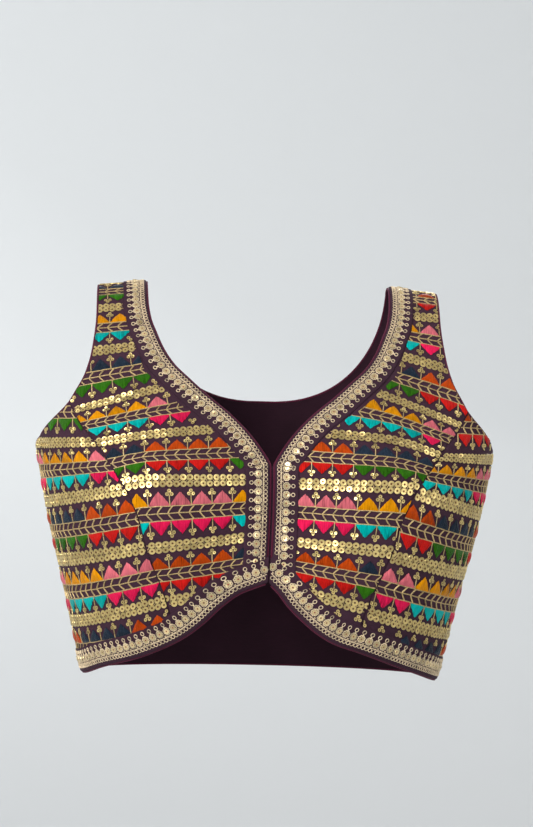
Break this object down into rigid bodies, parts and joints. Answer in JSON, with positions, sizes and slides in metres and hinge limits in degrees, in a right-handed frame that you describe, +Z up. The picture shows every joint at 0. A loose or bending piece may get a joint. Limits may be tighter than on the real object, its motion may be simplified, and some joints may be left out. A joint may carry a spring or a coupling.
{
  "type": "choli blouse",
  "caption": "Sleeveless cropped choli blouse with a V neck, princess seams, an arched front hem and lace-trimmed bands, in its hollow worn form.",
  "frame": {"origin": "middle of the shoulder line, level with where the straps cross the shoulders", "axes": "+X to the wearer's left, +Y to the wearer's back, +Z up"},
  "size_m": [0.4054, 0.2483, 0.351],
  "materials": {
    "embroidered_cloth": "woven, embroidered",
    "band_cloth": "woven",
    "piping_cloth": "satin"
  },
  "bodies": {
    "root": {"front_centre_R": "embroidered_cloth", "front_centre_L": "embroidered_cloth", "front_side_R": "embroidered_cloth", "front_side_L": "embroidered_cloth", "back": "embroidered_cloth", "neck_border_R": "band_cloth", "neck_border_L": "band_cloth", "hem_border_R": "band_cloth", "hem_border_L": "band_cloth", "neck_piping": "piping_cloth", "hem_piping": "piping_cloth", "armhole_piping_R": "piping_cloth", "armhole_piping_L": "piping_cloth"}
  },
  "joints": []
}
